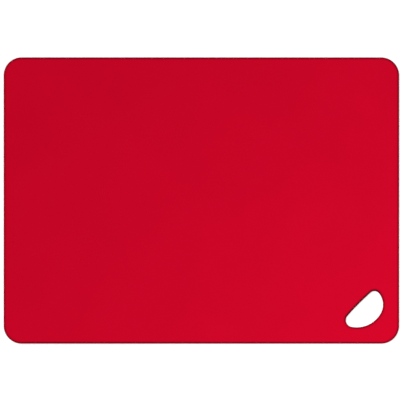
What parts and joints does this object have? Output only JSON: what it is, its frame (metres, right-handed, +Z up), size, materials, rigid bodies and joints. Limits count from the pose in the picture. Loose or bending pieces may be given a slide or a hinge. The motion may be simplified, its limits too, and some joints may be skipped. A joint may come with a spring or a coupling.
{
  "type": "cutting mat",
  "caption": "Thin flexible kitchen cutting mat with rounded corners, a half-moon hanging hole across one corner, a hard cutting face and a dotted non-slip backing.",
  "frame": {"origin": "middle of the footprint, on the worktop that the mat lies on", "axes": "+X along the mat's length to the side with the hole, +Y to the back edge, away from the corner with the hole, +Z up out of the cutting face"},
  "size_m": [0.279, 0.202, 0.0015],
  "materials": {
    "hard_sheet": "satin, fine leather-like grain",
    "soft_backing": "matt, soft and grippy"
  },
  "bodies": {
    "root": {"cutting_sheet": "hard_sheet", "grip_backing": "soft_backing"}
  },
  "joints": []
}
